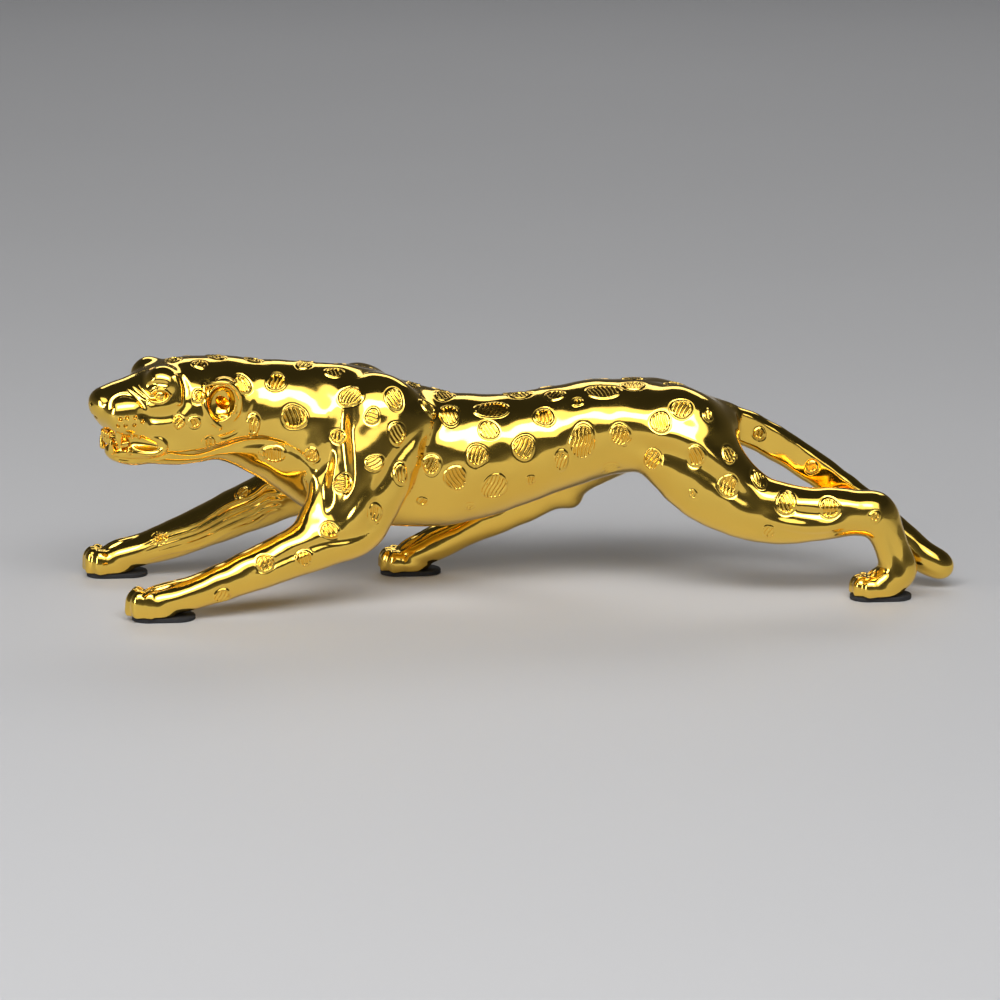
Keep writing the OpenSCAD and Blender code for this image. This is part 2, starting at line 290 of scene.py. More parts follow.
# The head has its own frame: forward, to the cat's left, up, in millimetres from the skull's middle
HEAD_AT = np.array((-72.0, -1.0, 46.0))
HEAD_YAW = 18
HEAD_FORMS = mirrored([
    (0, 0, 1.4, 14, 10.6, 9.2, 0), (6, 0, 4, 10, 9, 7.4, 0), (12.8, 5.8, 7.3, 3.8, 3.6, 4.1, 0),
    (13.4, 0, 5.2, 8, 5.4, 4.4, -12), (21, 0, 3.9, 7.4, 3.8, 3.6, -14),
    (25.9, 0, 2.9, 2.1, 3.2, 2.7, 0), (22, 4.4, 0.7, 4, 4, 4.3, 0), (22.8, 0, -0.8, 3.1, 3.2, 3.2, -20),
    (16, 4, 0.4, 8, 4.6, 4.6, 0), (10, 6.4, 1, 6.5, 4.2, 4.6, 0), (15.2, 4.8, -3.6, 4.6, 3.2, 3, 0),
    (3, 7, -2.6, 8.5, 4.8, 7, 0), (19.4, 0, -9.2, 6.1, 4.9, 3, 6), (9, 4.4, -7.6, 11, 4.6, 4.6, 0)])


def head_turn(q):
    """Turns row directions into head directions, or head directions into row directions."""
    c, s = math.cos(math.radians(HEAD_YAW)), math.sin(math.radians(HEAD_YAW))
    return np.stack([-c * q[:, 0] - s * q[:, 1], s * q[:, 0] - c * q[:, 1], q[:, 2]], 1)


def to_head(points):
    return head_turn(points - HEAD_AT)


def from_head(points):
    c, s = math.cos(math.radians(HEAD_YAW)), math.sin(math.radians(HEAD_YAW))
    q = np.asarray(points, float).reshape(-1, 3)
    return HEAD_AT + np.stack([-c * q[:, 0] + s * q[:, 1], -s * q[:, 0] - c * q[:, 1], q[:, 2]], 1)


# Broad swellings and hollows of the flanks: x, z, radius and height
SWELLS = [
    (-14, 33, 9, 0.9), (-2, 42, 7, -0.4), (5, 35, 7, 0.5), (15, 42, 7, 0.7), (24, 35, 7, -0.5),
    (-51, 46, 7, 0.6), (-56, 37, 6, -0.5), (-20, 22, 7, 0.4)]


def trunk_field(points):
    f = TRUNK(points)
    for x, z, radius, height in SWELLS:
        f -= height * np.exp(-((points[:, 0] - x) ** 2 + (points[:, 2] - z) ** 2) / radius ** 2)
    near = points[:, 0] < -40
    if near.any():
        f[near] = softmin([f[near], ellipsoids(to_head(points[near]), HEAD_FORMS, 1.1)], 1.6)
    return f


def toes(name):
    """Four toes on an arc, upright in front, and the claw in front of each."""
    tip, y, _, turned, tall = PAWS[name]
    rows = [(tip + 7.4, y, 0.5 * tall, 5.6, 4.8, 0.58 * tall, 0)]
    for angle in (-66, -22, 22, 66):
        c, s = math.cos(math.radians(angle + turned)), math.sin(math.radians(angle + turned))
        rows.append((tip + 5.4 - 2.9 * c, y + 2.9 * s, 0.54 * tall, 2.4, 2.2, 0.54 * tall, 0))
        rows.append((tip + 5.4 - 4.7 * c, y + 4.4 * s, 0.34 * tall, 0.7, 0.6, 0.19 * tall, 0))
    return rows


def limb_field(name, tubes):
    toe_rows = toes(name)
    front = PAWS[name][0] + 16

    def field(points):
        f = softmin([tube(points) for tube in tubes], 0.9)
        near = (points[:, 0] < front) & (points[:, 2] < 22)
        if near.any():
            f[near] = softmin([f[near], ellipsoids(points[near], toe_rows, 0.16)], 0.3)
        return f
    return field


def tail_field(points):
    """A round tail with a flat face on each side, which starts and ends at a crisp step."""
    f = TAIL[0](points)
    x, y, z = points.T
    centre = np.interp(x, [58, 66, 74, 82, 90], [0, -0.6, -2, -3.8, -5.8])
    along = 0.8 * x - 0.6 * z
    start, end = 0.8 * TAIL_FACET[0] - 0.6 * 39, 0.8 * TAIL_FACET[1] - 0.6 * 22
    facet = np.minimum(np.abs(y - centre) - TAIL_HALF_WIDTH, np.minimum(along - start, end - along))
    return -union(-f, -facet, 0.5)


CASTINGS = {
    "body_casting": trunk_field,
    "left_foreleg": limb_field("left_foreleg", LEFT_FORELEG),
    "right_foreleg": limb_field("right_foreleg", RIGHT_FORELEG),
    "left_hind_leg": limb_field("left_hind_leg", LEFT_HIND_LEG),
    "right_hind_leg": limb_field("right_hind_leg", RIGHT_HIND_LEG),
    "tail": tail_field}


def merged(fields, points):
    """All castings as one skin. Hips and tops of the shoulders flow into the body. Armpits stay crisp."""
    x, z = points[:, 0], points[:, 2]
    shoulder = 2 + 6 * np.clip((z - 38 + 0.6 * np.maximum(-34 - x, 0)) / 8, 0, 1)
    hind = union(fields["left_hind_leg"], fields["right_hind_leg"], 1)
    fore = union(fields["left_foreleg"], fields["right_foreleg"], 1)
    f = union(union(fields["body_casting"], hind, HIP_BLEND), fore, shoulder)
    return union(f, fields["tail"], TAIL_BLEND)


def skin_field(points):
    """All castings merged, without details."""
    return merged({name: field(points) for name, field in CASTINGS.items()}, points)


# ---------------- details, each near one place

class Stroke:
    """A ridge, or a groove if carve is set: close balls along a curve. Rows are x, y, z and radius."""

    def __init__(self, rows, k=0.4, carve=False, melt=0.06):
        rows = np.asarray(rows, float)
        length = np.linalg.norm(np.diff(rows[:, :3], axis=0), axis=1).sum()
        gap = 0.16 + 0.12 * rows[:, 3].min()
        self.balls = spline(rows, max(int(length / gap), 2)) if len(rows) > 1 else rows
        overlap = np.sqrt(2 * math.pi * melt * self.balls[:, 3]) / gap if len(rows) > 1 else np.ones(1)
        self.radius = self.balls[:, 3] - melt * np.log(np.maximum(overlap, 1))
        self.k, self.carve, self.melt = k, carve, melt
        self.fine = self.balls[:, 3].max() < 0.95
        reach = self.balls[:, 3].max() + k + 0.4
        self.low = self.balls[:, :3].min(0) - reach
        self.high = self.balls[:, :3].max(0) + reach

    def distance(self, points):
        d2 = sum((points[:, None, j] - self.balls[:, j]) ** 2 for j in range(3))
        f = np.sqrt(d2) - self.radius
        low = f.min(1)
        return low - self.melt * np.log(np.exp((low[:, None] - f) / self.melt).sum(1))

    def apply(self, points, f):
        b = self.distance(points)
        return cut(f, b, self.k) if self.carve else union(f, b, self.k)


class Lump:
    """An ellipsoid in the head's frame, added or carved out. The pitch lifts its front, in degrees."""

    fine = True

    def __init__(self, centre, radii, pitch=0, k=0.5, carve=False):
        self.row = (*centre, *radii, pitch)
        self.k, self.carve = k, carve
        middle = from_head(centre)[0]
        self.low = middle - max(radii) - 1
        self.high = middle + max(radii) + 1

    def distance(self, points):
        return ellipsoids(to_head(points), [self.row], 0.1)

    def apply(self, points, f):
        b = self.distance(points)
        return cut(f, b, self.k) if self.carve else union(f, b, self.k)


class Spot:
    """A raised oval with a rim, a groove around it and slanted hatching."""

    fine = True

    def __init__(self, place, normal, width, height, slant, seed):
        self.place = place
        across = np.cross((0, 0, 1), normal)
        if np.linalg.norm(across) < 0.3:
            across = np.cross((0, 1, 0), normal)
        self.across = across / np.linalg.norm(across)
        self.up = np.cross(normal, self.across)
        self.normal = normal
        self.half = width / 2, height / 2
        self.slant = math.radians(slant)
        self.phase = seed * 2.4
        reach = max(self.half) + 0.8
        self.low = self.place - reach
        self.high = self.place + reach

    def inside(self, points):
        """How far inside the oval's edge each point is, and its place along the hatching."""
        q = points - self.place
        u, v = q @ self.across, q @ self.up
        turn = np.arctan2(v, u)
        wobble = 1 + 0.05 * np.sin(2 * turn + self.phase) + 0.04 * np.sin(3 * turn + 2 * self.phase)
        rho = np.sqrt((u / self.half[0]) ** 2 + (v / self.half[1]) ** 2) * wobble
        inward = (1 - rho) * min(self.half)
        c, s = math.cos(self.slant), math.sin(self.slant)
        return inward, u * s - v * c + 0.12 * np.sin(1.3 * (u * c + v * s) + self.phase)

    def distance(self, points):
        inward, _ = self.inside(points)
        return np.maximum(-inward, np.abs((points - self.place) @ self.normal) - 2)

    def apply(self, points, f):
        inward, along = self.inside(points)
        plate = SPOT_PLATE * np.clip(inward / 0.4 + 0.5, 0, 1)
        rim = SPOT_RIM * np.exp(-((inward - 0.2) / 0.17) ** 2)
        groove = SPOT_GROOVE * np.exp(-((inward + 0.26) / 0.22) ** 2)
        wave = np.cos(2 * math.pi * along / HATCH_PITCH)
        hatch = SPOT_HATCH * np.clip(inward / 0.2 - 1.4, 0, 1) * (wave - 0.3)
        near = np.clip(2.6 - np.abs((points - self.place) @ self.normal), 0, 1)
        return f - near * (plate + rim - groove + hatch)


class Bore:
    """A tapped hole in a paw: a cylinder with a fine spiral groove."""

    fine = True

    def __init__(self, x, y):
        self.x, self.y = x, y
        self.low = np.array((x - 3, y - 3, PAD_TOP - 3))
        self.high = np.array((x + 3, y + 3, PAD_TOP + BORE_DEPTH + 1))

    def distance(self, points):
        x, y, z = points[:, 0] - self.x, points[:, 1] - self.y, points[:, 2] - PAD_TOP
        thread = 0.12 * np.cos(2 * math.pi * z / THREAD_PITCH - np.arctan2(y, x))
        return np.maximum(np.hypot(x, y) - BORE_R + thread, z - BORE_DEPTH)

    def apply(self, points, f):
        return cut(f, self.distance(points), 0.15)


def chunked(work, points, size=12000):
    """Runs work over thin slices of the points on all processor cores."""
    order = np.argsort(points[:, 0], kind="stable")
    slices = np.array_split(points[order], max(len(points) // size, 1))
    with ThreadPoolExecutor(4) as pool:
        found = np.concatenate(list(pool.map(work, slices)))
    out = np.empty_like(found)
    out[order] = found
    return out


def gradient(field, points, step=0.04):
    """Slope of a field from four samples at the corners of a tetrahedron."""
    return sum(corner * field(points + corner * step)[:, None] for corner in CORNERS) / (4 * step)


def rest_on_skin(places):
    """The nearest point of the skin to each place, and the direction out of it."""
    p = np.array(places, float)
    for _ in range(15):
        g = gradient(skin_field, p)
        p = p - g * np.clip(skin_field(p) / (g * g).sum(1), -1, 1)[:, None]
    g = gradient(skin_field, p)
    return p, g / np.linalg.norm(g, axis=1)[:, None]


def faded(rows, k, carve):
    """The rows with both ends sunk away from the skin, so that a ridge or groove dies out."""
    rows = [list(row) for row in rows]
    for end in (rows[0], rows[-1]):
        end[3] = (end[2] + 0.6 * k) * (1 if carve else -1)
    return rows


def lay(rows, start, heading):
    """Balls laid on the skin: each row's place is found by going from start along heading."""
    p, heading = np.array(start, float), np.asarray(heading, float)
    for _ in range(60):
        f = skin_field(p)
        p = p + heading * np.clip(f, -3, 6)[:, None] * 0.85
        if np.abs(f).max() < 0.01:
            break
    g = gradient(skin_field, p)
    g /= np.linalg.norm(g, axis=1)[:, None]
    rows = np.asarray(rows, float)
    return np.column_stack([p + g * rows[:, 3:4], rows[:, 2]])


def head_stroke(rows, side, k, carve=False):
    """A stroke on the side of the head: rows of forward, up, radius and lift off the skin."""
    start = from_head([(u, 24 * side, w) for u, w, _, _ in rows])
    heading = from_head([(0, -side, 0)])[0] - HEAD_AT
    return Stroke(lay(rows, start, heading), k, carve)


def side_stroke(rows, side, k, carve=False, start_y=40):
    """A stroke on a side of the body, fading at both ends: rows of x, z, radius and lift off the skin."""
    rows = faded(rows, k, carve)
    start = [(x, start_y * side, z) for x, z, _, _ in rows]
    return Stroke(lay(rows, start, (0, -side, 0)), k, carve)


def top_stroke(rows, start_z, k, carve=False):
    """A stroke laid from above: rows of x, y, radius and lift off the skin."""
    start = [(x, y, start_z) for x, y, _, _ in rows]
    return Stroke(lay(rows, start, (0, 0, -1)), k, carve)


def head_curve(rows, side, k, carve=False):
    """A stroke through rows of forward, sideways, up and radius, in the head's frame."""
    rows = np.asarray(rows, float) * (1, side, 1, 1)
    return Stroke(np.column_stack([from_head(rows[:, :3]), rows[:, 3]]), k, carve)


def face(side):
    """Everything on one side of the head. The side is 1 for the cat's left."""
    # Hollow under the eye, and temple
    yield head_stroke([
        (18.8, 1.4, 1.2, 0.7), (15.6, 0.6, 2.2, 1.2), (12, 1.2, 2.2, 1.2), (9.2, 3.4, 1.3, 0.8)],
        side, 1.2, GROOVE)
    yield head_stroke([
        (10.8, 9.4, 0.6, -0.2), (10.3, 6.6, 0.8, -0.35), (10.6, 3.6, 0.6, -0.3)], side, 0.8)
    yield head_stroke([(9, 9, 0.8, 0.4), (8.6, 6.6, 0.9, 0.4), (9, 3.8, 0.8, 0.4)], side, 0.7, GROOVE)
    # Eye: socket, ball, pupil, lids and tear line
    yield head_stroke([
        (16.4, 5, 0.7, 0.3), (15.7, 5.3, 1.1, 0.45), (14.8, 5.5, 1.3, 0.55), (13.9, 5.5, 1.1, 0.45),
        (13.1, 5.4, 0.7, 0.3)], side, 0.25, GROOVE)
    yield head_stroke([(14.8, 5.3, 1.4, -0.95)], side, 0.1)
    yield head_stroke([(15, 5.3, 0.4, 0.35)], side, 0.1, GROOVE)
    yield head_stroke([
        (17.1, 4.4, 0.22, 0), (16.2, 6, 0.34, 0), (15, 6.8, 0.38, 0.05), (13.7, 6.6, 0.34, 0),
        (12.5, 5.5, 0.25, -0.05)], side, 0.25)
    yield head_stroke([
        (17.1, 4.4, 0.22, 0), (16, 3.9, 0.3, 0), (14.7, 3.8, 0.32, 0), (13.4, 4.4, 0.3, 0),
        (12.5, 5.5, 0.25, -0.05)], side, 0.25)
    yield head_stroke([
        (17.2, 4.3, 0.3, 0.1), (18.4, 2.8, 0.3, 0.1), (19, 1.6, 0.2, 0.1)], side, 0.3, GROOVE)
    yield head_stroke([
        (16.8, 7.4, 0.5, 0.3), (15.2, 8.2, 0.6, 0.35), (13.4, 8, 0.5, 0.3)], side, 0.8, GROOVE)
    # Snarl wrinkles between the nose bridge and the eye
    for shift in (0, 1.3, 2.6):
        yield head_stroke([
            (21.4 - shift, 6.6 + 0.4 * shift, 0.35, 0.5), (20.4 - shift, 5.7 + 0.2 * shift, 0.45, 0.25),
            (19.2 - shift, 4.9, 0.45, 0.25), (18 - 0.8 * shift, 4.4, 0.3, 0.5)], side, 0.4, GROOVE)
    # Crease round the whisker pad, and whisker holes
    yield head_stroke([
        (25.6, 2.6, 0.3, 0.1), (24.6, 4.6, 0.6, 0.25), (22.4, 5.5, 0.7, 0.3), (19.8, 4.8, 0.7, 0.3),
        (18, 2.6, 0.75, 0.3), (17.4, -0.2, 0.8, 0.4), (17.8, -2, 0.5, 0.9)], side, 0.5, GROOVE)
    holes = (24, 0.4), (22.5, 0.7), (24.4, -1.3), (22.8, -1.3), (20.8, -1.2), (20.6, 0.6), (19, -0.4)
    for u, w in holes:
        yield head_stroke([(u, w, 0.46, 0), (u, w, 0.46, -0.3)], side, 0.1, GROOVE)
    # Jaw crease from the mouth to the throat
    yield head_stroke([
        (12.6, -8.8, 0.8, 0.65), (9.4, -9.4, 1.3, 0.95), (5.4, -9.4, 1.6, 1), (0, -8, 1.9, 1.1),
        (-5, -7, 1.9, 1.1), (-10, -7.2, 1.8, 1.1), (-15.6, -9.4, 1.2, 0.8), (-19, -13, 0.8, 0.6)],
        side, 1.2, GROOVE)
    # Nostril and the line between nose and lip
    yield head_curve([
        (28.2, 1, 2.9, 0.55), (27.6, 2, 2.7, 0.6), (26.6, 2.9, 1.9, 0.4)], side, 0.25, GROOVE)
    yield head_curve([
        (27.4, 0.8, 0.2, 0.45), (26.6, 2.4, 0.2, 0.5), (26, 3.5, 1.8, 0.5), (25, 3.7, 3.8, 0.5),
        (23, 3.6, 5.2, 0.3)], side, 0.45, GROOVE)


def mouth():
    """The open mouth, with its teeth, tongue and lips."""
    # Philtrum, and the gap between the lips in front
    yield head_curve([
        (28.4, 0, 1.2, 0.35), (27.2, 0, -1.2, 0.4), (26.2, 0, -3.2, 0.35)], 1, 0.35, GROOVE)
    yield head_curve([
        (25.4, -2.8, -5.3, 0.6), (26.3, 0, -5.1, 0.7), (25.4, 2.8, -5.3, 0.6)], 1, 0.4, GROOVE)
    # Tongue
    yield head_curve([(24.6, 0, -5.6, 1.3), (22, 0, -5.8, 2.2), (18, 0, -5.8, 2.8)], 1, 0.3)
    for side in (1, -1):
        # The opening on this side, and its floor
        yield head_curve([
            (24.9, 4.8, -5.4, 0.8), (22.6, 6.2, -5.5, 1.6), (19.4, 7.2, -5.7, 2),
            (16.8, 7.2, -6.3, 1.5), (15.2, 7.2, -6.9, 0.8)], side, 0.35, GROOVE)
        # Tongue edge, canines, front teeth and cheek teeth
        yield head_curve([
            (22.6, 3.4, -6.6, 0.7), (19.6, 4, -6.4, 0.9), (16.6, 4.4, -6.5, 0.7)], side, 0.3)
        yield head_curve([
            (23.3, 4.5, -2.8, 1.15), (23.5, 5, -4.8, 0.8), (23.4, 5.2, -7, 0.35)], side, 0.2)
        yield head_curve([
            (24.9, 3.4, -8.2, 0.8), (25, 3.7, -6.6, 0.55), (24.9, 3.8, -5.2, 0.25)], side, 0.2)
        for across in (0.5, 1.5, 2.4):
            yield head_curve([
                (25.9 - 0.3 * across, across, -4.2, 0.45), (25.9 - 0.3 * across, across, -5.2, 0.3)],
                side, 0.15)
        for back in range(3):
            u = 20.6 - 1.7 * back
            yield head_curve([(u, 5.6, -3.2, 0.75), (u, 5.6, -4.8 - 0.1 * back, 0.3)], side, 0.25)
            yield head_curve([(u + 0.6, 5.3, -8.2, 0.7), (u + 0.6, 5.3, -7, 0.3)], side, 0.25)
        # Lips: a fold along the edge of the opening, and the groove below the lower lip
        yield head_stroke([
            (22.6, -3.4, 0.3, -0.6), (19.6, -3.7, 0.35, -0.5), (16.8, -4.5, 0.45, -0.4),
            (14.4, -5.4, 0.7, -0.25), (13.8, -7, 0.7, -0.15), (15.4, -8.4, 0.6, -0.15),
            (19, -8.6, 0.5, -0.2), (23, -8, 0.4, -0.4)], side, 0.6)
        yield head_stroke([
            (24, -9.8, 0.5, 0.2), (20, -10.2, 0.6, 0.25), (16, -9.8, 0.6, 0.25), (13, -8.8, 0.5, 0.25)],
            side, 0.6, GROOVE)


def ear(side):
    """A cupped ear that comes to a point in front, with a rim, a deep hollow and folds round it."""
    yield Lump((0, 10 * side, 2.8), (4.3, 3.5, 5.8), 10, 1.2)
    yield Lump((1.5, 13.7 * side, 3.1), (3.6, 3.8, 4.4), 15, 0.5, GROOVE)
    yield head_curve([
        (1.6, 10.8, 4, 0.5), (0.2, 10, 2.8, 1.2), (-1.2, 9.2, 1.6, 1.7), (-2, 8, 1.2, 1.5)],
        side, 0.4, GROOVE)
    yield head_stroke([
        (1.6, -2.6, 0.3, -0.1), (3.4, -1, 0.5, 0.05), (4.6, 1.8, 0.6, 0.1), (4.9, 4.6, 0.6, 0.1),
        (4.2, 7, 0.45, 0)], side, 1)
    yield head_curve([
        (4.2, 10, 7, 0.4), (1.4, 12, 7.9, 0.45), (-1.4, 12.7, 7.2, 0.5), (-3.1, 12.8, 4.6, 0.5),
        (-3.2, 12.6, 1.8, 0.5), (-1.8, 12.2, -0.8, 0.45), (0.6, 11.6, -2.6, 0.3)], side, 0.5)
    yield head_curve([(-2.8, 12.2, 0.4, 0.5), (-1, 12, -0.4, 0.6), (1, 11.6, 0, 0.4)], side, 0.5)
    # Folds below and behind the ear
    yield head_stroke([
        (-4.4, -1.6, 0.5, 0.9), (-6, 0.4, 0.7, 0.45), (-7, 3, 0.6, 0.9)], side, 0.6, GROOVE)
    yield head_stroke([
        (3.6, -4.4, 0.5, 0.9), (0.8, -5, 0.7, 0.45), (-2.2, -4, 0.7, 0.45), (-4.6, -2, 0.5, 0.9)],
        side, 0.6, GROOVE)


def paw_details(name):
    """The fixing hole, and the grooves between the toes."""
    tip, y, hole, turned, _ = PAWS[name]
    yield Bore(hole, y)
    start_z, length = TOE_GROOVES[name]
    for across in (-2.6, 0, 2.6):
        rows = [(tip + 4.6, y + across + 0.04 * turned, 0.5, 0.35),
                (tip + 4.6 + 2 * length, y + across, 0.65, 0.3),
                (tip + 4.6 + 5 * length, y + 0.85 * across, 0.65, 0.3),
                (tip + 4.6 + 8.4 * length, y + 0.6 * across, 0.5, 0.7)]
        yield top_stroke(rows, start_z, 0.4, GROOVE)


def limb_details():
    """Muscles, folds and tendons of the legs."""
    # Left foreleg: hollow in front of the upper arm, edge of the muscle behind it, ridge above the elbow,
    # and the groove along the forearm
    yield side_stroke([
        (-41.2, 50, 2, 1), (-41.8, 43, 3, 2.4), (-41.6, 36, 3.6, 2.6), (-41.6, 30.6, 3.2, 2.3),
        (-43, 25, 1.8, 1)], LEFT, 1.6, GROOVE)
    yield side_stroke([
        (-22.6, 42.6, 0.8, 0.6), (-27.4, 38.6, 1.6, 0.9), (-30.8, 34.4, 1.8, 1),
        (-33.2, 30.6, 1.6, 0.9), (-37.4, 26.6, 0.9, 0.7)], LEFT, 1.2, GROOVE)
    yield side_stroke([
        (-35, 31, 1, -0.7), (-36.8, 26.6, 2, -1.2), (-39.2, 22.6, 2, -1.2), (-43, 20, 1, -0.6)],
        LEFT, 1.4)
    yield side_stroke([
        (-31, 23.4, 0.8, 0.6), (-38, 19, 1.4, 0.9), (-47, 17.4, 1.4, 0.9), (-55, 14.4, 1.3, 0.8),
        (-66, 9.8, 0.8, 0.6)], LEFT, 1.2, GROOVE)
    # Left hind leg: fold in the thigh, the ridge above it, and the groove along the metatarsus
    yield side_stroke([
        (20, 37.4, 1, 0.6), (28, 36.6, 2.2, 1.9), (36, 35.2, 2.6, 2.1), (43, 31.6, 2.8, 2.2),
        (50, 26.4, 2.6, 2), (56, 22.6, 1.6, 1)], LEFT, 3, GROOVE)
    yield side_stroke([
        (27, 41.6, 1, 0), (33, 40.4, 2, -1.7), (39, 38.4, 2.4, -2), (46, 33.6, 2.2, -1.8),
        (52, 29, 1.2, 0)], LEFT, 2.4)
    yield side_stroke([
        (84, 19, 0.8, 0.4), (86.2, 14, 1.5, 1), (87.6, 9.4, 1.5, 1), (88, 6, 0.8, 0.4)],
        LEFT, 1.4, GROOVE)
    # Right hind leg: fold in the thigh
    yield side_stroke([
        (33, 40, 0.8, 0.6), (27, 37.4, 1.6, 1.2), (20, 32.6, 1.9, 1.4), (14, 27, 1.5, 1.1),
        (9, 21.6, 0.8, 0.6)], RIGHT, 1.8, GROOVE)
    # Left shin: a ridge, and the groove above it
    yield side_stroke([
        (54, 21, 1, 0), (60, 19.6, 1.4, -0.8), (66, 18.6, 1.5, -0.9), (72, 19, 1.4, -0.8),
        (79, 21, 1, 0)], LEFT, 1.4)
    yield side_stroke([
        (56, 24.6, 1, 0.4), (63, 22.6, 1.3, 0.9), (70, 22, 1.3, 0.9), (77, 22.8, 1, 0.4)],
        LEFT, 1.2, GROOVE)
    # Right forearm: tendons along its inner side, which shows below the neck, and along its outer side
    for drop in (-1.2, 0.6, 2.2, 3.8, 5.2):
        bend = 0.5 * math.sin(4 * drop)
        yield side_stroke([
            (-55.5, 22.4 - 0.9 * drop, 0.7, 0), (-58.5, 22.2 - drop + bend, 0.7, -0.1),
            (-62, 20.6 - drop - bend, 0.9, -0.2), (-68, 17 - 0.95 * drop + bend, 0.8, -0.1),
            (-75, 13.6 - 0.85 * drop - bend, 0.9, -0.2), (-83, 9.8 - 0.7 * drop + bend, 0.7, -0.2),
            (-90, 7 - 0.6 * drop, 0.6, 0)], LEFT, 0.5, start_y=-9)
    for drop in (0.4, 2.4, 4.4):
        bend = 0.4 * math.sin(3 * drop)
        yield side_stroke([
            (-54, 25.4 - drop, 0.7, 0), (-64, 20.6 - drop + bend, 0.9, -0.3),
            (-72, 16.4 - 0.9 * drop - bend, 0.9, -0.3), (-84, 10.4 - 0.8 * drop, 0.6, 0)], RIGHT, 0.7)


# Spots near the left side: x, y, z, width, height and slant of the hatching in degrees
HEAD_SPOTS = [
    (-64.5, -9, 52.5, 4, 4.8, 100), (-79, -15, 45, 2.6, 2.6, 60), (-75.5, -14.5, 45, 2.6, 2.6, 110),
    (-72, -14, 39.5, 2.8, 2.8, 90), (-56.5, -7, 52.5, 4.3, 4.4, 70), (-52.5, -10.5, 45, 5.6, 5.4, 105),
    (-62, -11.5, 43.5, 3, 4.6, 80), (-57.5, -10.5, 36, 5.4, 4, 95), (-48.5, -11.5, 36.5, 3.2, 3.2, 60),
    (-74.5, -12.5, 50.5, 2.4, 2.8, 120)]
TOP_SPOTS = [
    (-80, -4, 57, 3, 3, 80), (-74, -6.5, 56.5, 3.4, 3, 60), (-70, -2, 57, 3.6, 3, 110),
    (-61.5, -1, 56.5, 3.4, 3, 90), (-50, -2, 55, 3.8, 3.4, 75), (-43, -4, 54, 4.4, 3.4, 100),
    (-25, -2, 50, 3.6, 3, 60), (-17.5, -2.5, 47.5, 5.2, 4, 80), (0.5, -1.5, 47.5, 5, 3.6, 110),
    (8.5, -4.5, 47.5, 5, 3.6, 70), (27, -3.5, 49, 5.2, 4, 95), (36, -2, 48, 4, 3, 60)]
SHOULDER_SPOTS = [
    (-40.5, -12, 51, 6.2, 4.8, 75), (-43, -13.5, 41, 3, 3, 90), (-29.5, -13, 49.5, 4, 5, 115),
    (-35, -16.5, 46.5, 3, 3.6, 170), (-23, -9, 45, 3.4, 5.2, 110), (-29, -16.5, 42, 4.2, 4.8, 120),
    (-34.5, -18, 35.5, 4, 3.6, 30), (-28.5, -17, 32.5, 3.3, 4.6, 80), (-41.5, -17, 30.5, 4, 4, 5),
    (-34.5, -19, 24, 3.2, 4.8, 75)]
BODY_SPOTS = [
    (-16.5, -8, 44, 4.8, 5.2, 95), (-6.5, -6.5, 45, 8.4, 5, 60), (-7.5, -10.5, 41, 4.4, 4.4, 110),
    (-10.5, -12.5, 35.5, 5, 4.6, 75), (-21, -12.5, 33.5, 3.8, 4.8, 60),
    (-15.5, -12.5, 30.5, 5.6, 5.6, 120), (-6.5, -12, 28, 6.4, 6.6, 70), (-23, -11, 24.5, 2.8, 2.4, 45),
    (-12, -10, 23, 2.4, 2, 60), (0.5, -12, 37, 4.8, 5.8, 65), (5.5, -9, 43.5, 4.6, 4.2, 100),
    (13.5, -7.5, 46, 2.8, 2.2, 80), (19.5, -5.5, 48, 8, 5, 115), (9, -11, 34, 3.6, 5.4, 70),
    (14, -10.5, 38, 5.8, 8.6, 80), (23, -10, 39.5, 4.8, 5.2, 65), (21, -8, 31.5, 4.2, 3.4, 60),
    (2, -11, 29.5, 2.4, 2.8, 90)]
HIP_SPOTS = [
    (32, -14, 43, 4.8, 4.8, 105), (30.5, -13.5, 34, 4.2, 4.8, 60), (40, -17.5, 35.5, 4, 5, 110),
    (37, -14, 46.5, 5.2, 4.4, 60), (43.5, -13.5, 44.5, 2.4, 3.4, 80), (39.5, -17, 26.5, 2.2, 2.2, 45),
    (48, -16.5, 35.5, 3.6, 4.2, 110), (55, -16.5, 29.5, 3.4, 5.2, 75),
    (47.5, -18.5, 28.5, 4.8, 4.8, 70), (61, -19.5, 24.5, 4.4, 5.6, 115), (71, -20, 23, 4.4, 4.8, 95),
    (57, -19, 18, 3.4, 3.4, 60), (81.5, -20.5, 21, 2.4, 2.6, 60)]
OTHER_SPOTS = [
    (57, -3, 37, 2.6, 2.6, 60), (69.5, -4, 29, 2.6, 2.6, 110), (-60, -21.5, 13, 3.8, 3.8, 60),
    (-51, -21, 14, 4.2, 3.6, 100), (-70, -23, 6, 4, 4, 75), (-45, -19.5, 20, 4, 3.4, 120),
    (-64, 13, 21, 3.6, 3, 60), (-84, 16.5, 9.5, 3, 2.6, 100), (57, 3, 37, 2.6, 2.6, 110),
    (72, 1.5, 27, 2.6, 2.6, 60)]
RIGHT_LEG_SPOTS = [
    (-60, 21.5, 17, 3.8, 3.8, 60), (-70, 22.5, 13, 4.2, 3.6, 100), (-82, 23.5, 8, 3.8, 3.6, 75),
    (-52, 20, 23, 4, 3.4, 120), (31, 16, 40, 4.8, 4.8, 75), (24, 18, 34, 5, 5.4, 105),
    (36, 14, 44, 3.6, 3.6, 60), (17, 19, 29, 4.4, 4.8, 90), (27, 17, 28, 3.4, 3.4, 60),
    (9, 19, 23, 4.2, 4.4, 110), (1, 19.5, 17, 3.6, 3.6, 80), (-10, 20, 11, 3.2, 3, 60)]


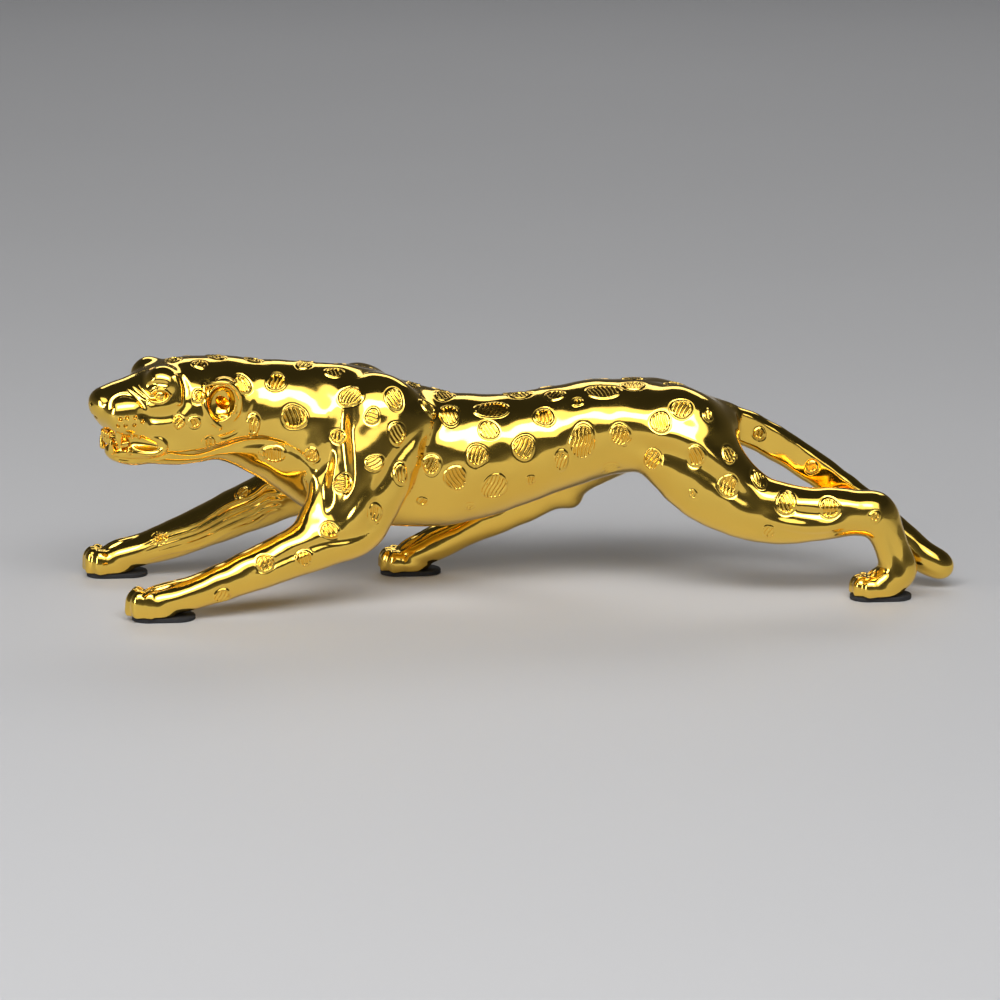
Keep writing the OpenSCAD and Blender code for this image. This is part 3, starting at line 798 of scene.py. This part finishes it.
def spots():
    """The left side as listed, and a looser copy of the head, body and shoulder on the right."""
    rows = HEAD_SPOTS + TOP_SPOTS + SHOULDER_SPOTS + BODY_SPOTS
    rows += HIP_SPOTS + OTHER_SPOTS + RIGHT_LEG_SPOTS
    for index, (x, y, z, width, height, slant) in enumerate(HEAD_SPOTS + BODY_SPOTS + TOP_SPOTS):
        if x < -62:
            u, v, w = to_head(np.array([(x, y, z)]))[0]
            x, y, z = from_head([(u, -v, w)])[0]
        else:
            x, y, z = x + 1.5 * math.sin(index), -y, z + math.cos(3 * index)
        rows.append((x, y, z, width, height, 180 - slant))
    for index, (x, y, z, width, height, slant) in enumerate(SHOULDER_SPOTS):
        rows.append((x - 4 - 0.18 * (46 - z), -y, z + math.sin(index), width, height, 180 - slant))
    places, normals = rest_on_skin([row[:3] for row in rows])
    return [Spot(place, normal, *row[3:], index)
            for index, (row, place, normal) in enumerate(zip(rows, places, normals))]


def all_details():
    out = []
    for side in (1, -1):
        out += face(side)
    out += mouth()
    for side in (1, -1):
        out += ear(side)
    out += limb_details()
    for name in PAWS:
        out += paw_details(name)
    return out + spots()


def unevenness(points):
    """The softly wavy surface of a hand-finished casting."""
    x, y, z = points.T
    along = np.sin(0.5 * x + 0.9 * np.sin(0.33 * z + 1))
    upwards = np.sin(0.46 * z + 0.3 * y + 0.8 * np.sin(0.27 * x))
    finer = np.sin(0.93 * x - 0.4 * z + 0.5 * np.sin(0.6 * z)) * np.sin(0.8 * z + 0.31 * x + 2)
    return 0.11 * along * upwards + 0.03 * finer


def whole_field(points, details=()):
    """All castings merged into one skin, with the details on it and a flat sole on the pads."""
    fields = {name: field(points) for name, field in CASTINGS.items()}
    f = merged(fields, points) + unevenness(points)
    f = -union(-f, points[:, 2] - PAD_TOP, 0.8)
    low, high = points.min(0), points.max(0)
    for detail in details:
        if (detail.low > high).any() or (detail.high < low).any():
            continue
        near = np.flatnonzero(((points > detail.low) & (points < detail.high)).all(1))
        if len(near):
            f[near] = detail.apply(points[near], f[near])
    return f, fields


def casting_field(name, details):
    """The part of the skin that belongs to one casting. Past the crease it is closed by a wall.

    The body runs a little past the crease, and the others dip under it there, so that no seam shows.
    """
    tuck, lift = (0, 0) if name == "body_casting" else (0.5, 0.03)

    def both(points):
        """The casting's field, and the whole skin's."""
        f, fields = whole_field(points, details)
        mine = fields[name]
        others = np.min([g for other, g in fields.items() if other != name], 0)
        wall = np.clip((mine - others) / 2, -20, 20)
        over = (wall + TUCK) / TUCK
        dip = tuck * np.clip(over, 0, 2) ** 2 / 4 - lift * np.clip(over + 2, 0, 1)
        return -union(-(f + dip), -(wall - TUCK), 0.1), f
    return both


def new_object(name, data):
    thing = bpy.data.objects.new(name, data)
    bpy.context.scene.collection.objects.link(thing)
    return thing


# ---------------- meshing

def sample_band(field, low, high, voxel):
    """The field on a grid: exact near the surface, and only its sign right elsewhere."""
    block = 4
    shape = np.ceil((high - low) / (voxel * block)).astype(int)
    coarse = np.stack(np.meshgrid(*[np.arange(n) for n in shape], indexing="ij"), -1).reshape(-1, 3)
    value = chunked(field, low + (coarse + 0.5) * voxel * block)
    radius = voxel * block * math.sqrt(3) / 2
    grid = np.clip(value, -1, 1).reshape(shape)
    for axis in range(3):
        grid = np.repeat(grid, block, axis)
    live = coarse[np.abs(value) < 2.2 * radius]
    cell = np.stack(np.meshgrid(*[np.arange(block)] * 3, indexing="ij"), -1).reshape(-1, 3)
    index = (live[:, None] * block + cell).reshape(-1, 3)
    grid[tuple(index.T)] = chunked(field, low + (index + 0.5) * voxel)
    return grid.astype(np.float32)


def polygonise(field, low, high, voxel):
    """The field's zero surface as points and quads."""
    volume = openvdb.FloatGrid(1.0)
    volume.copyFromArray(sample_band(field, low, high, voxel))
    points, quads = volume.convertToQuads(isovalue=0.0)
    return low + (points.astype(float) + 0.5) * voxel, quads


def settle(field, points, rounds, step=0.04):
    """Moves the points onto the field's own zero surface."""
    def work(p):
        for _ in range(rounds):
            values = [field(p + corner * step) for corner in CORNERS]
            f = sum(values) / 4
            g = sum(corner * value[:, None] for corner, value in zip(CORNERS, values)) / (4 * step)
            p = p - g * np.clip(f / np.maximum((g * g).sum(1), 0.2), -0.3, 0.3)[:, None]
        return p
    return chunked(work, points)


def detailed(points, details, reach):
    """Which points are within reach of a fine detail."""
    def work(p):
        found = np.zeros(len(p), bool)
        low, high = p.min(0), p.max(0)
        for detail in details:
            if not detail.fine or (detail.low > high).any() or (detail.high < low).any():
                continue
            box = np.flatnonzero(((p > detail.low) & (p < detail.high)).all(1) & ~found)
            if len(box):
                gap = detail.distance(p[box])
                found[box] = (gap if isinstance(detail, Spot) else np.abs(gap)) < reach
        return found
    return chunked(work, points)


def casting(name, details):
    """Meshes one casting and puts it in place of its CAD node."""
    low, high = [(np.array(corner) - np.array(ORIGIN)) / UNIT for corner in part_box(name)]
    low, high = low - MARGIN, high + MARGIN
    mine = [d for d in details if (d.high > low).all() and (d.low < high).all()]
    both = casting_field(name, mine)

    def field(p):
        return both(p)[0]

    points, quads = polygonise(field, low, high, VOXEL)
    points = settle(field, points, 1)
    bm = bmesh.new()
    mesh = bpy.data.meshes.new(name + "_skin")
    mesh.from_pydata(points.tolist(), [], quads.tolist())
    bm.from_mesh(mesh)
    bm.verts.ensure_lookup_table()
    marked = detailed(points, mine, DETAIL_REACH)
    edges = {edge for face in bm.faces if any(marked[v.index] for v in face.verts) for edge in face.edges}
    bmesh.ops.subdivide_edges(bm, edges=list(edges), cuts=CUTS, use_grid_fill=True)
    bmesh.ops.triangulate(bm, faces=[face for face in bm.faces if len(face.verts) > 4])
    points = settle(field, np.array([v.co[:] for v in bm.verts]), 2)
    bm.to_mesh(mesh)
    bm.free()
    mesh.vertices.foreach_set("co", (points * UNIT + np.array(ORIGIN)).ravel())
    mesh.update()

    def normal(p, step=0.03):
        own = np.zeros_like(p)
        skin = np.zeros_like(p)
        level = 0
        for corner in CORNERS:
            piece, f = both(p + corner * step)
            own += corner * piece[:, None]
            skin += corner * f[:, None]
            level = level + f / 4
        return np.where((np.abs(level) < 0.04)[:, None], skin, own)
    normals = chunked(normal, points)
    normals /= np.linalg.norm(normals, axis=1)[:, None] + 1e-9
    mesh.shade_smooth()
    mesh.normals_split_custom_set_from_vertices(normals.tolist())
    skin = new_object(name + "_skin", mesh)
    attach(skin, "root")
    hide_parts(name)
    return skin


# ---------------- foam pads

def foam_pad(node, foam):
    """A soft stadium with rounded rims and a hole, in place of its CAD node."""
    low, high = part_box(node)
    middle = (low + high) / 2
    length, width, height = high - low
    straight = (length - width) / 2
    count = 96
    # How far from the hole's rim to the pad's edge, and how high, once round the section
    section = [
        (0, 0.12), (0.02, 0.02), (0.1, 0), (0.5, 0), (0.92, 0), (0.985, 0.05), (1, 0.25), (0.985, 0.5),
        (1, 0.75), (0.975, 0.93), (0.9, 1), (0.5, 0.985), (0.12, 1), (0.03, 0.96), (0, 0.85), (0.02, 0.5)]
    bm = bmesh.new()
    rings = []
    for i in range(count):
        turn = 2 * math.pi * i / count
        c, s = math.cos(turn), math.sin(turn)
        edge = width / 2 / max(abs(s), 1e-6)
        if abs(c) * edge > straight:
            reach = straight * abs(c)
            edge = reach + math.sqrt(max(reach * reach - straight * straight + width * width / 4, 0))
        hole = PAD_HOLE_R * UNIT
        ripple = 1 - 0.004 * math.sin(9 * turn) - 0.003 * math.sin(23 * turn)
        ring = []
        for across, up in section:
            r = hole + (edge * ripple - hole) * across
            ring.append(bm.verts.new((middle.x + c * r, middle.y + s * r, low.z + up * height)))
        rings.append(ring)
    for i in range(count):
        for j in range(len(section)):
            k = (j + 1) % len(section)
            bm.faces.new((rings[i][j], rings[i - 1][j], rings[i - 1][k], rings[i][k]))
    bmesh.ops.recalc_face_normals(bm, faces=bm.faces)
    mesh = bpy.data.meshes.new(node + "_foam")
    bm.to_mesh(mesh)
    bm.free()
    mesh.shade_smooth()
    mesh.materials.append(foam)
    pad = new_object(node + "_foam", mesh)
    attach(pad, "root")
    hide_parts(node)


# ---------------- materials

def new_material(name):
    material = bpy.data.materials.new(name)
    material.use_nodes = True
    tree = material.node_tree
    return material, tree, tree.nodes["Principled BSDF"]


def noise(tree, scale, detail, stretch=None):
    """Noise in the piece's own coordinates, which are metres."""
    place = tree.nodes.new("ShaderNodeTexCoord")
    texture = tree.nodes.new("ShaderNodeTexNoise")
    texture.inputs["Scale"].default_value = scale
    texture.inputs["Detail"].default_value = detail
    socket = place.outputs["Object"]
    if stretch:
        mapping = tree.nodes.new("ShaderNodeMapping")
        mapping.inputs["Scale"].default_value = stretch
        tree.links.new(socket, mapping.inputs["Vector"])
        socket = mapping.outputs["Vector"]
    tree.links.new(socket, texture.inputs["Vector"])
    return texture.outputs["Fac"]


def ranged(tree, socket, target, low, high):
    """Noise spread over the range from low to high, into the target socket."""
    span = tree.nodes.new("ShaderNodeMapRange")
    span.inputs["From Min"].default_value = 0.3
    span.inputs["From Max"].default_value = 0.7
    span.inputs["To Min"].default_value = low
    span.inputs["To Max"].default_value = high
    tree.links.new(socket, span.inputs["Value"])
    tree.links.new(span.outputs["Result"], target)


def tinted(tree, socket, target, dark, light):
    """Noise turned into a colour between the two, into the target socket."""
    mix = tree.nodes.new("ShaderNodeMix")
    mix.data_type = "RGBA"
    mix.inputs["A"].default_value = (*dark, 1)
    mix.inputs["B"].default_value = (*light, 1)
    tree.links.new(socket, mix.inputs["Factor"])
    tree.links.new(mix.outputs["Result"], target)


def bumped(tree, socket, shader, strength, distance):
    bump = tree.nodes.new("ShaderNodeBump")
    bump.inputs["Strength"].default_value = strength
    bump.inputs["Distance"].default_value = distance
    tree.links.new(socket, bump.inputs["Height"])
    tree.links.new(bump.outputs["Normal"], shader.inputs["Normal"])


def gold_plate():
    """Polished gold plate: faint haze where it was wiped, and the casting's softest unevenness."""
    material, tree, shader = new_material("gold_plate")
    shader.inputs["Metallic"].default_value = 1
    ranged(tree, noise(tree, 90, 4, (1, 3, 3)), shader.inputs["Roughness"], 0.08, 0.13)
    tinted(tree, noise(tree, 40, 2), shader.inputs["Base Color"], (1.0, 0.63, 0.1), (1.0, 0.68, 0.13))
    bumped(tree, noise(tree, 110, 2), shader, 0.6, 0.0004)
    return material


def pad_foam():
    """Black closed-cell foam."""
    material, tree, shader = new_material("pad_foam")
    cells = noise(tree, 2600, 4)
    tinted(tree, cells, shader.inputs["Base Color"], (0.008, 0.008, 0.009), (0.03, 0.03, 0.032))
    ranged(tree, cells, shader.inputs["Roughness"], 0.75, 0.95)
    bumped(tree, cells, shader, 0.6, 0.0002)
    return material


def pin_steel():
    """Ground steel with fine lines round the pin."""
    material, tree, shader = new_material("pin_steel")
    shader.inputs["Metallic"].default_value = 1
    lines = noise(tree, 500, 3, (1, 12, 1))
    tinted(tree, lines, shader.inputs["Base Color"], (0.42, 0.43, 0.45), (0.6, 0.61, 0.63))
    ranged(tree, lines, shader.inputs["Roughness"], 0.22, 0.38)
    bumped(tree, lines, shader, 0.2, 0.0001)
    return material


# ---------------- stage

def area_light(name, place, aim, size, power):
    """A rectangular light. Place and aim are in metres, and power is in watts."""
    data = bpy.data.lights.new(name, "AREA")
    data.shape = "RECTANGLE"
    data.size, data.size_y = size
    data.energy = power
    light = new_object(name, data)
    light.location = place
    light.rotation_euler = (Vector(aim) - Vector(place)).to_track_quat("-Z", "Y").to_euler()


def studio_world():
    """Grey surroundings that are pale at the horizon and dark overhead."""
    world = bpy.data.worlds.new("studio")
    bpy.context.scene.world = world
    world.use_nodes = True
    tree = world.node_tree
    place = tree.nodes.new("ShaderNodeTexCoord")
    split = tree.nodes.new("ShaderNodeSeparateXYZ")
    ramp = tree.nodes.new("ShaderNodeValToRGB")
    tree.links.new(place.outputs["Generated"], split.inputs["Vector"])
    tree.links.new(split.outputs["Z"], ramp.inputs["Fac"])
    tree.links.new(ramp.outputs["Color"], tree.nodes["Background"].inputs["Color"])
    stops = ramp.color_ramp.elements
    stops[0].position, stops[0].color = 0, (0.16, 0.16, 0.165, 1)
    stops[1].position, stops[1].color = 0.6, (0.025, 0.026, 0.028, 1)
    middle = stops.new(0.2)
    middle.color = (0.07, 0.07, 0.075, 1)


def studio():
    """A plain pale floor and soft light from large panels."""
    bpy.context.scene.view_settings.view_transform = "Standard"
    studio_world()
    bpy.ops.mesh.primitive_plane_add(size=8, location=(0, 0, cad_low.z))
    floor = bpy.context.object
    floor.name = "floor"
    material, tree, shader = new_material("pale_floor")
    tinted(tree, noise(tree, 6, 2), shader.inputs["Base Color"], (0.53, 0.53, 0.54), (0.55, 0.55, 0.56))
    shader.inputs["Roughness"].default_value = 0.6
    floor.data.materials.append(material)
    area_light("overhead_front", (-0.1, -0.8, 0.95), (0, 0, 0.03), (1.9, 0.9), 8)
    area_light("overhead_core", (-0.1, -0.7, 0.84), (0, 0, 0.03), (1.2, 0.28), 8)
    area_light("left_strip", (-0.9, -0.45, 0.3), (-0.05, 0, 0.03), (0.12, 0.5), 2)
    area_light("back", (0.2, 1.3, 1.0), (0, 0.3, 0), (1.6, 0.5), 5)


def camera():
    """Looks at the cat's left side from a little above and in front."""
    data = bpy.data.cameras.new("camera")
    view = new_object("camera", data)
    bpy.context.scene.camera = view
    elevation, azimuth, distance = math.radians(14), math.radians(-4.8), 0.85
    sensor, view_width = 36, 234.2
    aim = ORIGIN + Vector((-4.6, -6, 23.1)) * UNIT
    back = Vector((math.sin(azimuth) * math.cos(elevation), -math.cos(azimuth) * math.cos(elevation),
                   math.sin(elevation)))
    view.location = aim + back * distance
    view.rotation_euler = (-back).to_track_quat("-Z", "Y").to_euler()
    data.sensor_width = sensor
    data.lens = sensor * distance / (view_width * UNIT)
    data.clip_start, data.clip_end = 0.01, 20


# ---------------- build

camera()
gold, foam, steel = gold_plate(), pad_foam(), pin_steel()
details = all_details()
for casting_name in CASTINGS:
    skin = casting(casting_name, details)
    skin.data.materials.append(gold)
for pad_name in ("left_fore_pad", "right_fore_pad", "left_hind_pad", "right_hind_pad"):
    foam_pad(pad_name, foam)
for pins in ("left_shoulder_pins", "right_shoulder_pins", "left_hip_pins", "right_hip_pins", "tail_pin"):
    bpy.data.objects[pins].material_slots[0].material = steel
studio()
